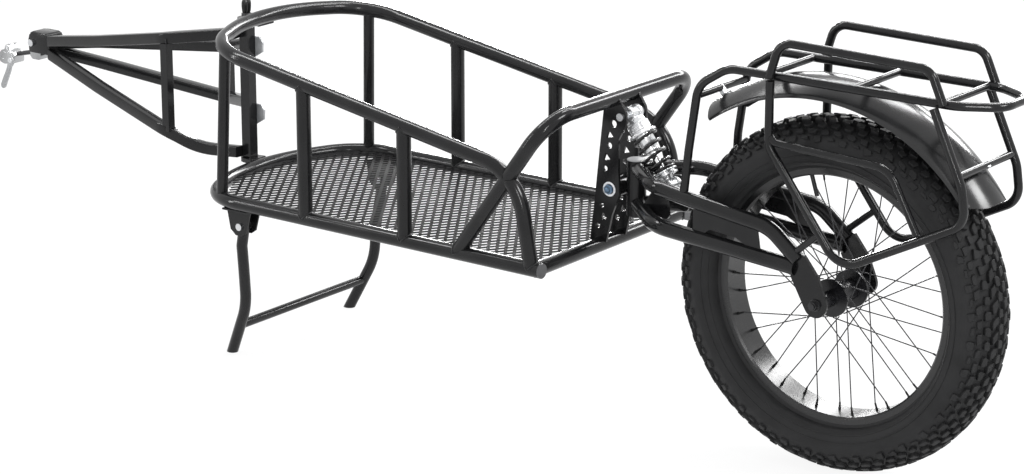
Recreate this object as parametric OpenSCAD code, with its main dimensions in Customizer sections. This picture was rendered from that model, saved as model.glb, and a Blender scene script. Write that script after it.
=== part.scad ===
/* [Wheel] */
// Height of the axle above the ground
axle_z = 291; // [285:0.5:300]
// Outer radius of the tyre
tyre_r = 291; // [285:0.5:292]
// Width of the tyre
tyre_w = 104; // [90:1:106]
// Radius of the rim's outer edge
rim_r = 210; // [205:0.5:214]
// Width of the rim
rim_w = 56; // [48:1:60]
// Radius of the rim's inner face
rim_inner_r = 197; // [194:0.5:200]
// Number of spokes
spokes = 36; // [32:4:40]
// Diameter of a spoke
spoke_d = 2; // [1.6:0.1:2.4]
// Distance from the wheel's middle to the inside of a dropout
dropout_y = 72; // [70:1:76]
// Diameter of the axle
axle_d = 10; // [9:0.5:10]

/* [Basket] */
// Distance between the side rails, centre to centre
basket_w = 422; // [410:1:430]
// Diameter of the basket's tubes
rail_d = 25; // [22:0.5:26]
// Wall of the steel tubes
wall = 1.5; // [1.2:0.1:2]
// Height of the bottom rail's centre
floor_z = 298; // [292:1:304]
// Slope of the top rail, in degrees
rail_slope = 9.8; // [9:0.1:10.5]
// Thickness of the floor sheet that stands for the mesh
mesh_t = 1; // [0.8:0.1:2]

/* [Suspension] */
// Distance between the pivot plates, middle to middle
plate_gap = 56; // [54:1:60]
// Thickness of a pivot plate
plate_t = 5; // [4:0.5:6]
// Diameter of the pivot bolt
pivot_d = 12; // [10:0.5:14]
// Diameter of the shock's bolts
shock_bolt_d = 8; // [6:0.5:8]
// Thickness of the spring's wire
coil_wire = 5; // [4:0.5:5]
// Mean diameter of the spring
coil_d = 37; // [36:0.5:38]
// Turns of the spring
coil_turns = 4.5; // [4:0.5:5]
// Diameter of the swingarm's upper tubes
stay_d = 25; // [22:0.5:26]
// Distance from the middle to a swingarm side tube
stay_y = 76; // [75:0.5:78]

/* [Rack] */
// Diameter of the rack's tubes
rack_d = 14; // [12:0.5:16]
// Height of the rack's platform
rack_z = 645; // [640:1:650]
// Distance from the middle to a platform rail
rack_y = 72; // [70:1:76]

/* [Drawbar] */
// Width of the drawbar's square tubes
bar_w = 20; // [18:0.5:22]
// Half distance between the drawbar's two frames at their struts
fork_y = 82; // [78:1:86]
// Diameter of the hitch pin
pin_d = 12; // [10:0.5:12]

/* [Kickstand] */
// Diameter of the stand's legs
leg_d = 20; // [18:0.5:22]
// Diameter of the stand's pivot bolts
stand_bolt_d = 8; // [6:0.5:10]

/* [Hidden] */
$fn = 48;
black = "#1c1c1e";
steel = "#b9bcc0";
grey = "#8b8e92";

// The wheel's axle is this far behind the middle of the whole trailer
axle_x = 794.5;
clear = 0.3;
running = 0.05;
// Hair gap between the straights and bends of one tube
seam = 0.01;
half_w = basket_w / 2;
rail_r = rail_d / 2;
rear_end = -435;
cross_x = -447;
post_xs = [-936, -718];
bow_r = 315;
corner_r = 110;
bottom_nose_x = -1254;
bottom_corner_x = -1165;
top_nose_x = -1230;
top_corner_x = -1143;
hoop_foot_x = -607;
hoop_lean = 54;
hoop_len = 311;
j_bend_r = 100;
upright_x = -484;
upright_foot_x = -454;
post_x = -1252;
plate_y = plate_gap / 2;
pivot = [-429, 0, 396];
shock_top = [-407, 0, 522];
shock_low = [-328, 0, 412];
stand_pivot = [-1095, 0, 253];
stand_y = 190;
coupler_pivot = [-1787, 0, 452];
nipple_d = 4.5;

// Height of the top rail's centre at a place along the trailer
function top_z(x) = 371 - tan(rail_slope) * x;
function unit(v) = v / norm(v);
function turn(a, b, c) = acos(unit(b - a) * unit(c - b));
// Length that a bend takes from the straight before and after it
function reach(pts, i, r) = (i == 0 || i == len(pts) - 1) ? 0
    : r * tan(turn(pts[i - 1], pts[i], pts[i + 1]) / 2);
function across(z) = unit(cross(abs(z[2]) < 0.9 ? [0, 0, 1] : [1, 0, 0], z));
function frame(x, y, z, p) = [[x[0], y[0], z[0], p[0]], [x[1], y[1], z[1], p[1]],
    [x[2], y[2], z[2], p[2]], [0, 0, 0, 1]];
function flip(p) = [p[0], -p[1], p[2]];
function mirrored(pts) = [for (i = [len(pts) - 1 : -1 : 0]) flip(pts[i])];

module from_axle() { translate([axle_x, 0, 0]) children(); }

module both_sides() {
    children();
    mirror([0, 1, 0]) children();
}

module ring(d, w) {
    difference() {
        circle(d = d);
        if (w > 0) circle(d = d - 2 * w);
    }
}

// Straight tube between two points; w = 0 makes it solid
module rod(a, b, d, w = 0) {
    z = unit(b - a);
    x = across(z);
    multmatrix(frame(x, cross(z, x), z, a)) linear_extrude(norm(b - a)) ring(d, w);
}

function bend_dir(pts, i) = let (u = unit(pts[i] - pts[i - 1]), v = unit(pts[i + 1] - pts[i]))
    unit(v - u * (u * v));
function turn_at(pts, i) = turn(pts[i - 1], pts[i], pts[i + 1]);
// Direction that points away from the last bend's inside, square to the tube
function side_at(pts, i) = i == 0 ? across(unit(pts[1] - pts[0]))
    : bend_dir(pts, i) * cos(turn_at(pts, i)) - unit(pts[i] - pts[i - 1]) * sin(turn_at(pts, i));
function roll_at(pts, i) = let (z = unit(pts[i] - pts[i - 1]), x = side_at(pts, i - 1), n = bend_dir(pts, i))
    atan2(n * cross(z, x), n * x);
function straight_at(pts, r, i) = norm(pts[i + 1] - pts[i]) - reach(pts, i, r[i]) - reach(pts, i + 1, r[i + 1]);

// The rest of a bent tube, each straight and bend starting a hair past where the last one ends
module trail(pts, r, d, w, i = 0) {
    l = straight_at(pts, r, i);
    from = i == 0 ? 0 : seam;
    to = i == len(pts) - 2 ? 0 : seam;
    translate([0, 0, from]) linear_extrude(l - from - to) ring(d, w);
    if (i < len(pts) - 2) {
        bend = turn_at(pts, i + 1);
        radius = r[i + 1];
        translate([0, 0, l]) rotate([0, 0, roll_at(pts, i + 1)]) {
            multmatrix([[-1, 0, 0, radius], [0, 0, 1, 0], [0, 1, 0, 0], [0, 0, 0, 1]])
                rotate_extrude(angle = bend) translate([radius, 0]) ring(d, w);
            translate([radius, 0, 0]) rotate([0, bend, 0]) translate([-radius, 0, 0]) trail(pts, r, d, w, i + 1);
        }
    }
}

// Bent tube through a list of corners; r is the bend radius at each corner
module run(pts, r, d, w = 0) {
    z = unit(pts[1] - pts[0]);
    x = across(z);
    multmatrix(frame(x, cross(z, x), z, pts[0])) trail(pts, r, d, w);
}

// One straight of a bent tube as a solid bar, for cutting what meets it
module bar(pts, i, d) { rod(pts[i], pts[i + 1], d); }

// Everything on the far side of a point, looking along n
module beyond(p, n) {
    z = unit(n);
    x = across(z);
    multmatrix(frame(x, cross(z, x), z, p)) translate([-400, -400, 0]) cube([800, 800, 800]);
}

// Square tube through a list of corners, mitred at each
module square_run(pts, w, t) {
    last = len(pts) - 1;
    for (i = [0 : last - 1]) {
        z = unit(pts[i + 1] - pts[i]);
        x = across(z);
        before = i == 0 ? 0 : w;
        after = i == last - 1 ? 0 : w;
        difference() {
            multmatrix(frame(x, cross(z, x), z, pts[i] - z * before))
                linear_extrude(norm(pts[i + 1] - pts[i]) + before + after) difference() {
                    square(w, center = true);
                    if (t > 0) square(w - 2 * t, center = true);
                }
            if (i > 0) beyond(pts[i], -(z + unit(pts[i] - pts[i - 1])));
            if (i < last - 1) beyond(pts[i + 1], z + unit(pts[i + 2] - pts[i + 1]));
        }
    }
}

// Bar along Y through a point, centred on the middle plane
module cross_rod(p, d, l) {
    translate([p[0], p[1], p[2]]) rotate([90, 0, 0]) cylinder(d = d, h = l, center = true);
}

// Plate in a vertical plane along the trailer, from an outline in X and Z
module side_plate(y, t) { translate([0, y + t / 2, 0]) rotate([90, 0, 0]) linear_extrude(t) children(); }

bottom_path = [[rear_end, -half_w, floor_z], [bottom_corner_x, -half_w, floor_z],
    [bottom_nose_x, 0, floor_z], [bottom_corner_x, half_w, floor_z], [rear_end, half_w, floor_z]];
bow_bends = [0, corner_r, bow_r, corner_r, 0];

module bottom_rail_tube(w) { from_axle() run(bottom_path, bow_bends, rail_d, w); }

module bottom_rail() { color(black) bottom_rail_tube(wall); }

// A rail's corner bend on both sides as solid bars, for cutting what meets it
module rail_corner(pts, w) {
    a = pts[1] + unit(pts[0] - pts[1]) * 100;
    c = pts[1] + unit(pts[2] - pts[1]) * 80;
    from_axle() both_sides() run([a, pts[1], c], [0, corner_r, 0], rail_d, w);
}

// Whole ring along a rail's front bow, for cutting what meets them
module rail_ring(p, slope, r) {
    from_axle() translate(p) rotate([0, slope, 0]) translate([r, 0, 0])
        rotate_extrude() translate([r, 0]) circle(d = rail_d);
}

// Place of a rail across the trailer in its corner bend, which starts at start
function corner_y(x, start) = half_w - corner_r + sqrt(corner_r * corner_r - (start - x) * (start - x));

hoop_dir = [cos(hoop_lean), 0, sin(hoop_lean)];
hoop_foot = [hoop_foot_x, half_w, floor_z];
hoop_top = hoop_foot + hoop_dir * hoop_len;
hoop_path = [flip(hoop_foot), flip(hoop_top), hoop_top, hoop_foot];
side_path = [[upright_foot_x, half_w, floor_z], [upright_x, half_w, top_z(upright_x)],
    [top_corner_x, half_w, top_z(top_corner_x)]];

module hoop_legs() {
    from_axle() both_sides() rod(hoop_foot - hoop_dir * 30, hoop_top, rail_d + 2 * clear);
}

loop_start = [-500, half_w, top_z(-500)];
loop_path = [flip(loop_start), flip(side_path[2]), [top_nose_x, 0, top_z(top_nose_x)], side_path[2], loop_start];

module top_rail() {
    split = [-560, half_w, top_z(-560)];
    back = split + [seam, 0, 0];
    front = [flip(split), loop_path[1], loop_path[2], loop_path[3], split];
    color(black) {
        from_axle() run(front, bow_bends, rail_d, wall);
        difference() {
            from_axle() both_sides() run([back, side_path[1], side_path[0]], [0, j_bend_r, 0], rail_d, wall);
            hoop_legs();
            rail_bar();
        }
    }
}

// The bottom rail's straight sides as solid bars, for cutting what meets them
module rail_bar() {
    from_axle() both_sides() rod([rear_end + 10, half_w, floor_z], [-1080, half_w, floor_z], rail_d);
}

module rail_sides() {
    from_axle() both_sides() rod([-600, half_w, top_z(-600)], side_path[2], rail_d);
}

module side_posts() {
    color(black) difference() {
        from_axle() both_sides() for (x = post_xs)
            rod([x, half_w, floor_z], [x, half_w, top_z(x)], rail_d, wall);
        rail_bar();
        rail_sides();
    }
}

module corner_posts() {
    color(black) difference() {
        from_axle() both_sides() rod([-1138, corner_y(-1138, -1091), floor_z],
            [-1128, corner_y(-1128, -1069), top_z(-1128)], 20, wall);
        rail_corner(bottom_path, 0);
        rail_corner(loop_path, 0);
    }
}

module rear_hoop() {
    color(black) difference() {
        from_axle() run(hoop_path, [0, 62, 62, 0], rail_d, wall);
        rail_bar();
    }
}

module rear_cross_tube() {
    color(black) difference() {
        from_axle() rod([cross_x, -half_w, floor_z], [cross_x, half_w, floor_z], rail_d, wall);
        rail_bar();
        from_axle() both_sides() bar(side_path, 0, rail_d + 2 * clear);
    }
}

module rail_end_caps() {
    color(black) from_axle() both_sides() translate([rear_end, half_w, floor_z]) rotate([0, 90, 0]) {
        cylinder(d = rail_d, h = 2.5);
        translate([0, 0, -14]) cylinder(d = rail_d - 2 * wall, h = 14);
    }
}

floor_pitch = 64;
floor_strip = 16;

module floor_mesh() {
    inset = half_w - rail_r;
    opening = floor_pitch - floor_strip;
    color(black) difference() {
        from_axle() translate([0, 0, floor_z - mesh_t / 2]) linear_extrude(mesh_t) difference() {
            polygon([[cross_x - rail_r, -inset - 3], [-1110, -inset - 3], [-1170, -160], [-1206, -80], [-1216, 0],
                [-1206, 80], [-1170, 160], [-1110, inset + 3], [cross_x - rail_r, inset + 3]]);
            for (y = [-plate_y, plate_y]) translate([-475, y - 4]) square([30, 8]);
            for (x = concat(post_xs, [hoop_foot_x, upright_foot_x]), y = [-inset - 3.7, inset - 0.3])
                translate([x - 22, y]) square([44, 4]);
            for (j = [-3 : 2], i = [0 : j == -3 || j == 2 ? 9 : 10])
                translate([-474 - i * floor_pitch - opening, j * floor_pitch + floor_strip / 2]) square(opening);
        }
        bottom_rail_tube(0);
    }
}

module plate_windows() {
    for (p = [[-422, 508, 6], [-430, 470, 5], [-438, 430, 4.5], [-444, 366, 4], [-452, 330, 4.5]])
        translate([p[0], p[1]]) circle(r = p[2]);
    for (p = [[-429, 489, 7], [-435, 450, 7], [-440, 348, 6]])
        translate([p[0], p[1]]) polygon([[-p[2], -p[2]], [p[2], -p[2] / 2], [-p[2] / 3, p[2]]]);
}

module pivot_plates() {
    color(black) difference() {
        from_axle() both_sides() side_plate(plate_y, plate_t) difference() {
            polygon([[-440, 551], [-450, 459], [-459, 372], [-468, 300], [-436, 300], [-424, 352], [-409, 389],
                [-412, 430], [-412, 482], [-396, 512], [-398, 530], [-415, 556]]);
            plate_windows();
            translate([pivot[0], pivot[2]]) circle(d = pivot_d + 2 * running);
            translate([shock_top[0], shock_top[2]]) circle(d = shock_bolt_d + 2 * running);
        }
        from_axle() cross_rod([hoop_top[0], 0, hoop_top[2]], rail_d, 200);
        from_axle() cross_rod([cross_x, 0, floor_z], rail_d, 200);
    }
}

tab_t = 8;
// Where the front bow of a rail crosses the middle plane
function apex(pts) = let (half = turn(pts[1], pts[2], pts[3]) / 2, over = bow_r * (1 / cos(half) - 1))
    pts[2] + unit((pts[1] + pts[3]) / 2 - pts[2]) * over;
bottom_apex_x = apex(bottom_path)[0];
top_apex_x = apex(loop_path)[0];
top_tab_z = 562;
low_tab_z = 303;

post_z0 = low_tab_z + tab_t + clear;
post_z1 = top_tab_z - clear;

module hinge_tab(z, back) {
    translate([0, 0, z]) linear_extrude(tab_t) difference() {
        hull() {
            translate([post_x, 0]) circle(d = 34);
            translate([back, 0]) square([2, 40], center = true);
        }
        translate([post_x, 0]) circle(d = pin_d + 2 * running);
    }
}

module hinge_tabs() {
    color(black) difference() {
        from_axle() {
            hinge_tab(top_tab_z, top_apex_x - 2);
            hinge_tab(low_tab_z, bottom_apex_x - 6);
        }
        rail_ring([bottom_apex_x, 0, floor_z], 0, bow_r);
        rail_ring([top_apex_x, 0, top_z(top_apex_x)], rail_slope, bow_r);
    }
}

bracket_t = 3;
bracket_w = leg_d + 2 * bracket_t + 2;

module stand_brackets() {
    bracket_top = floor_z - rail_r - 0.1;
    color(black) from_axle() both_sides() translate([stand_pivot[0], stand_y, 0]) {
        translate([-30, -bracket_w / 2, bracket_top - bracket_t]) cube([56, bracket_w + 12, bracket_t]);
        for (y = [-1, 1]) side_plate(y * (bracket_w - bracket_t) / 2, bracket_t) difference() {
            polygon([[-30, bracket_top], [26, bracket_top], [14, 243], [4, 236], [-10, 236], [-22, 246]]);
            translate([0, stand_pivot[2]]) circle(d = stand_bolt_d + 2 * running);
        }
    }
}

module bolt_along_y(p, d, l, head_d, head_l) {
    cross_rod(p, d, l + 2 * head_l);
    for (s = [-1, 1]) cross_rod([p[0], p[1] + s * (l + head_l) / 2, p[2]], head_d, head_l);
}

module pivot_bolt() {
    color(steel) from_axle() cross_rod(pivot, pivot_d, plate_gap + plate_t + 14);
}

module pivot_nuts() {
    color("#7d8b99") from_axle() both_sides() translate([pivot[0], plate_y + plate_t / 2, pivot[2]])
        rotate([-90, 0, 0]) difference() {
            union() {
                cylinder(d = 24, h = 2);
                translate([0, 0, 2]) cylinder(d = 19, h = 5, $fn = 6);
            }
            translate([0, 0, -1]) cylinder(d = pivot_d, h = 20);
        }
}

module shock_upper_bolt() {
    color(steel) from_axle() bolt_along_y(shock_top, shock_bolt_d, plate_gap + plate_t, 13, 5);
}

module stand_bolts() {
    color(steel) from_axle() both_sides()
        bolt_along_y([stand_pivot[0], stand_y, stand_pivot[2]], stand_bolt_d, bracket_w, 13, 4);
}

leg_top = [-1095, stand_y, 262];
leg_path = [leg_top, [-1104, stand_y, 214], [-1108, 182, 165], [-1109, 177, 100], [-1163, 161, -8]];
brace_z = 57;

leg_bends = [0, 30, 200, 120, 0];

module leg_eye(d) { cross_rod([stand_pivot[0], stand_y, stand_pivot[2]], d, leg_d + 1); }

module kickstand() {
    color(black) from_axle() {
        both_sides() difference() {
            run(leg_path, leg_bends, leg_d, wall);
            leg_eye(16);
            ground_cut();
        }
        both_sides() difference() {
            leg_eye(16);
            leg_eye(stand_bolt_d + 2 * running);
        }
        difference() {
            cross_rod([-1131, 0, brace_z], 16, 2 * 168);
            both_sides() bar(leg_path, 3, leg_d);
        }
    }
}

module ground_cut() { translate([-1300, 0, -100]) cube([300, 300, 100]); }

module stand_feet() {
    foot = leg_path[4];
    up = unit(leg_path[3] - foot);
    color("#151515") from_axle() both_sides() difference() {
        rod(foot + up * 30, foot - up * 10, leg_d - 2 * wall - 2 * running);
        ground_cut();
    }
}

shock_axis = unit(shock_low - shock_top);
shock_len = norm(shock_low - shock_top);
shock_side = across(shock_axis);
eye_w = 30;
body_len = 62;
spring_start = 26;
spring_end = shock_len - 26;

module on_shock() {
    from_axle() multmatrix(frame(cross(shock_side, shock_axis), shock_side, shock_axis, shock_top)) children();
}

module shock_body() {
    color("#e6e7e8") on_shock() difference() {
        union() {
            rotate([90, 0, 0]) cylinder(d = 24, h = eye_w, center = true);
            translate([0, 0, 4]) cylinder(d = 22, h = 20);
            translate([0, 0, 20]) cylinder(d = 46, h = 6);
            translate([0, 0, 24]) cylinder(d = 28, h = body_len - 24);
        }
        rotate([90, 0, 0]) cylinder(d = 16, h = eye_w + 2, center = true);
        translate([0, 0, 28]) cylinder(d = 12 + 2 * running, h = body_len);
    }
}

module eye_bush(play) {
    rotate([90, 0, 0]) difference() {
        cylinder(d = 16, h = plate_gap - plate_t - 1, center = true);
        cylinder(d = shock_bolt_d + 2 * play, h = 80, center = true);
    }
}

module shock_bush_upper() { color(steel) on_shock() eye_bush(running); }

module shock_collar() {
    color(steel) on_shock() difference() {
        translate([0, 0, spring_start]) cylinder(d = 44, h = 4);
        translate([0, 0, spring_start - 1]) cylinder(d = 28, h = 6);
    }
}

coil_from = spring_start + 4 + coil_wire / 2;
coil_to = spring_end - coil_wire / 2;
coil_rings = 8;
coil_sides = 6;
coil_steps = coil_turns * coil_rings;
// A closed half turn lies flat at each end
function coil_rise(a) = let (e = 0.5, k = a / 360) coil_from + (coil_to - coil_from)
    * (k < e ? 0 : k > coil_turns - e ? 1 : (k - e) / (coil_turns - 2 * e));
function coil_point(a) = [coil_d / 2 * cos(a), coil_d / 2 * sin(a), coil_rise(a)];
function coil_ring(a) = [for (s = [0 : coil_sides - 1]) let (q = s * 360 / coil_sides)
    [(coil_d / 2 + coil_wire / 2 * cos(q)) * cos(a), (coil_d / 2 + coil_wire / 2 * cos(q)) * sin(a),
    coil_rise(a) + coil_wire / 2 * sin(q)]];
coil_gaps = [for (i = [0 : 0.5 : (coil_turns - 1) * coil_rings])
    norm(coil_point(i * 360 / coil_rings + 360) - coil_point(i * 360 / coil_rings)) - coil_wire];
echo("least gap between turns", min(coil_gaps));

module coil_spring() {
    points = [for (i = [0 : coil_steps]) each coil_ring(i * 360 / coil_rings)];
    sides = [for (i = [0 : coil_steps - 1], s = [0 : coil_sides - 1])
        let (a = i * coil_sides, b = a + coil_sides, t = (s + 1) % coil_sides) [a + s, b + s, b + t, a + t]];
    color("#202022") on_shock() polyhedron(points, concat([[for (s = [0 : coil_sides - 1]) s]],
        sides, [[for (s = [coil_sides - 1 : -1 : 0]) coil_steps * coil_sides + s]]));
}

module shock_shaft() {
    color(steel) on_shock() difference() {
        union() {
            translate([0, 0, 46]) cylinder(d = 12, h = shock_len - 46 - 10);
            translate([0, 0, spring_end]) cylinder(d = 44, h = 6);
            translate([0, 0, spring_end + 5]) cylinder(d = 20, h = 14);
            translate([0, 0, shock_len]) rotate([90, 0, 0]) cylinder(d = 24, h = eye_w, center = true);
        }
        translate([0, 0, shock_len]) rotate([90, 0, 0]) cylinder(d = 16, h = eye_w + 2, center = true);
    }
}

module shock_bush_lower() { color(steel) on_shock() translate([0, 0, shock_len]) eye_bush(clear); }

hub_tube_x = -396;
barrel_w = plate_gap - plate_t - 1;
upper_path = [[hub_tube_x, 0, 432], [-316, -70, 430], [-240, -stay_y, 421], [-88, -stay_y, 402],
    [-34, -stay_y, 358]];
upper_bends = [0, 60, 60, 70, 0];
lower_path = [[hub_tube_x, 0, 372], [-306, -stay_y, 366], [-38, -stay_y, 345]];
lower_bends = [0, 70, 0];

module swing_hub_solid() {
    translate([hub_tube_x, 0, 351]) cylinder(d = 33, h = 94);
    cross_rod(pivot, 36, barrel_w);
}

module swing_hub() {
    color(black) from_axle() difference() {
        swing_hub_solid();
        cross_rod(pivot, 18, 80);
    }
}

module swing_bushes() {
    color("#d8d8d8") from_axle() difference() {
        cross_rod(pivot, 18, barrel_w);
        cross_rod(pivot, pivot_d + 2 * running, 80);
    }
}

module upper_stays() {
    color(black) from_axle() both_sides() difference() {
        run(upper_path, upper_bends, stay_d, wall);
        translate([hub_tube_x, 0, 300]) cylinder(d = 33, h = 200);
        translate([hub_tube_x - 100, -0.5, 300]) cube([200, 100, 300]);
        dropout_plate(false);
    }
}

module lower_stays() {
    color(black) from_axle() both_sides() difference() {
        run(lower_path, lower_bends, 26, wall);
        translate([hub_tube_x, 0, 300]) cylinder(d = 33, h = 200);
        translate([hub_tube_x - 100, -0.5, 300]) cube([200, 100, 300]);
        bar(upper_path, 3, stay_d + 2 * clear);
        dropout_plate(false);
    }
}

module swing_gussets() {
    color(black) from_axle() both_sides() difference() {
        side_plate(-stay_y, 4) polygon([[-232, 421], [-232, 360], [-222, 360], [-200, 378], [-150, 374],
            [-112, 355], [-104, 355], [-112, 404]]);
        bar(upper_path, 2, stay_d);
        bar(lower_path, 1, 26);
    }
}

module dropout_plate(drilled) {
    side_plate(-stay_y, 6) difference() {
        union() {
            polygon([[-46, 330], [-40, 372], [-22, 368], [4, 336], [19.4, 299.1], [0, axle_z], [-18.3, 280.6]]);
            translate([0, axle_z]) circle(r = 21);
        }
        if (drilled) translate([0, axle_z]) circle(d = axle_d);
    }
}

module dropouts() { color(black) from_axle() both_sides() dropout_plate(true); }

lug_t = 5;

module shock_lugs() {
    color(black) from_axle() difference() {
        for (s = [-1, 1]) side_plate(s * plate_y, lug_t) difference() {
            hull() {
                translate([shock_low[0], shock_low[2]]) circle(r = 11);
                translate([-352, 380]) circle(r = 8);
                translate([-318, 372]) circle(r = 8);
            }
            translate([shock_low[0], shock_low[2]]) circle(d = shock_bolt_d + 2 * running);
        }
        both_sides() bar(lower_path, 0, 26);
    }
}

module shock_lower_bolt() {
    color(steel) from_axle() bolt_along_y(shock_low, shock_bolt_d, plate_gap + lug_t, 13, 5);
}

rack_leg = [[-252, -stay_y, 421], [-246, -rack_y, 500], [-230, -rack_y, 610], [-175, -rack_y, rack_z],
    [230, -rack_y, rack_z], [292, -36, rack_z]];
bar_xs = [-106, 51, 207];
rack_path = concat(rack_leg, mirrored(rack_leg));
rack_bends = [0, 80, 45, 60, 50, 36, 36, 50, 60, 45, 80, 0];

module rack_platform() {
    color(black) from_axle() difference() {
        run(rack_path, rack_bends, rack_d, 1.2);
        both_sides() run(upper_path, upper_bends, stay_d);
    }
}

module rack_cross_bars() {
    color(black) from_axle() difference() {
        union() {
            for (x = bar_xs) cross_rod([x, 0, rack_z], 12, 2 * rack_y);
            cross_rod(low_bar, 12, 2 * rack_y);
        }
        both_sides() bar(rack_path, 3, rack_d);
        both_sides() run([rack_leg[1], rack_leg[2], rack_leg[3]], [0, rack_bends[2], 0], rack_d);
    }
}

handrail_path = [[-92, -rack_y - 10, rack_z], [-74, -rack_y - 10, 703], [190, -rack_y - 10, 698],
    [214, -rack_y - 10, rack_z]];

module rack_handrails() {
    color(black) from_axle() both_sides() difference() {
        run(handrail_path, [0, 30, 26, 0], rack_d, 1.2);
        bar(rack_path, 3, rack_d);
    }
}

pannier_y = rack_y + 14;
pannier_path = [[-88, -pannier_y, 640], [-88, -pannier_y, 536], [46, -pannier_y, 360], [261, -pannier_y, 469],
    [253, -pannier_y, 525], [200, -pannier_y, 640]];
pannier_bends = [0, 36, 44, 34, 60, 0];
bar_path = [[-88, -pannier_y, 554], [-78, -pannier_y, 543], [128, -pannier_y, 535], [180, -pannier_y, 439]];

module pannier_hoops() {
    color(black) from_axle() both_sides() {
        difference() {
            run(pannier_path, pannier_bends, rack_d, 1.2);
            bar(rack_path, 3, rack_d);
            bar(handrail_path, 0, rack_d);
            bar(handrail_path, 2, rack_d);
        }
        difference() {
            rod([8, -pannier_y, 410], [-44, -stay_y, 366], 11);
            bar(pannier_path, 1, rack_d);
            run(upper_path, upper_bends, stay_d);
        }
    }
}

module pannier_bars() {
    color(black) from_axle() both_sides() difference() {
        run(bar_path, [0, 12, 45, 0], 12);
        run(pannier_path, pannier_bends, rack_d);
    }
}

fender_mid = [-24, 0, 283];
fender_crown = 361;
fender_arch = 30;
fender_w = 112;
low_bar = [-233, 0, 592];
fender_bar = [245.5, 0, 541];

module fender_stay() {
    color(black) from_axle() difference() {
        cross_rod(fender_bar, 12, 2 * pannier_y);
        both_sides() bar(pannier_path, 4, rack_d);
    }
}

module fender_bolts() {
    color(steel) from_axle() for (p = [low_bar, fender_bar]) {
        out = unit(p - fender_mid);
        difference() {
            rod(fender_mid + (fender_crown + clear) * out, p + 5 * out, 13);
            cross_rod(p, 12 + 2 * running, 40);
        }
    }
}

module fender() {
    bow = (pow(fender_w / 2, 2) + pow(fender_arch, 2)) / (2 * fender_arch);
    color("#6f7377") from_axle() translate(fender_mid) rotate([90, 0, 0]) rotate([0, 0, 34.5])
        rotate_extrude(angle = 92) intersection() {
            translate([fender_crown - bow, 0]) difference() {
                circle(r = bow);
                circle(r = bow - 1.6);
            }
            translate([fender_crown - fender_arch, -fender_w / 2]) square([fender_arch + 10, fender_w]);
        }
}

module axle() {
    color(steel) from_axle() cross_rod([0, 0, axle_z], axle_d, 2 * dropout_y + 36);
}

module axle_nuts() {
    color(steel) from_axle() both_sides() translate([0, stay_y + 3, axle_z]) rotate([-90, 0, 0]) difference() {
        union() {
            cylinder(d = 20, h = 2);
            translate([0, 0, 2]) cylinder(d = 16, h = 7, $fn = 6);
        }
        translate([0, 0, -1]) cylinder(d = axle_d, h = 20);
    }
}

flange_y = 31;
flange_r = 31;

module hub() {
    color("#26282b") from_axle() translate([0, 0, axle_z]) rotate([90, 0, 0]) difference() {
        union() {
            cylinder(d = 34, h = 2 * flange_y, center = true);
            for (s = [-1, 1]) translate([0, 0, s * flange_y]) cylinder(r = flange_r, h = 4, center = true);
            cylinder(d = 26, h = 2 * dropout_y - 2, center = true);
        }
        cylinder(d = axle_d + 2 * running, h = 200, center = true);
    }
}

function around(r, a, y) = [r * cos(a), y, axle_z + r * sin(a)];

module spoke_set() {
    step = 360 / spokes;
    color("#3a3c3f") from_axle() for (i = [0 : spokes - 1]) {
        side = i % 2 == 0 ? -1 : 1;
        lead = floor(i / 2) % 2 == 0 ? 1 : -1;
        rod(around(flange_r + 1.2, i * step + lead * 62, side * (flange_y + lead * 1.25)),
            around(rim_inner_r - 12 - seam, i * step, side * (9 + lead * 1.25)), spoke_d);
    }
}

module nipples() {
    step = 360 / spokes;
    color("#17181a") from_axle() for (i = [0 : spokes - 1]) {
        side = i % 2 == 0 ? -1 : 1;
        lead = floor(i / 2) % 2 == 0 ? 1 : -1;
        rod(around(rim_inner_r - 12, i * step, side * (9 + lead * 1.25)),
            around(rim_inner_r - 2 * seam, i * step, side * (9 + lead * 1.25)), nipple_d);
    }
}

module rim() {
    color("#a9acb0") from_axle() translate([0, 0, axle_z]) rotate([90, 0, 0]) rotate_extrude() difference() {
        polygon([[rim_inner_r, -rim_w / 2 + 3], [rim_inner_r, rim_w / 2 - 3], [rim_inner_r + 3, rim_w / 2],
            [rim_r, rim_w / 2], [rim_r, rim_w / 2 - 3], [rim_inner_r + 6, rim_w / 2 - 4],
            [rim_inner_r + 6, -rim_w / 2 + 4], [rim_r, -rim_w / 2 + 3], [rim_r, -rim_w / 2],
            [rim_inner_r + 3, -rim_w / 2]]);
    }
}

module valve() {
    color(steel) from_axle() rod(around(rim_inner_r - 38, 108, 0), around(rim_inner_r, 108, 0), 7);
}

// The carcass is round, with its bead inside the rim's edges
module tyre() {
    centre = tyre_r - tyre_w / 2 + 1;
    color("#1a1a1b") from_axle() translate([0, 0, axle_z]) rotate([90, 0, 0]) rotate_extrude() difference() {
        union() {
            intersection() {
                translate([centre, 0]) circle(r = tyre_w / 2);
                translate([rim_r + clear, -60]) square([tyre_r - rim_r - clear, 120]);
            }
            translate([rim_inner_r + 6 + clear, -rim_w / 2 + 4.5]) square([10, rim_w - 9]);
        }
        intersection() {
            translate([centre, 0]) circle(r = tyre_w / 2 - 5);
            translate([rim_r + 4, -60]) square([100, 120]);
        }
    }
}

bush_len = 18;

module post() {
    color(black) from_axle() translate([post_x, 0, 0]) difference() {
        translate([-bar_w / 2, -bar_w / 2, post_z0]) cube([bar_w, bar_w, post_z1 - post_z0]);
        translate([0, 0, post_z0 - 1]) cylinder(d = bar_w - 4, h = post_z1 - post_z0 + 2);
    }
}

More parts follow.
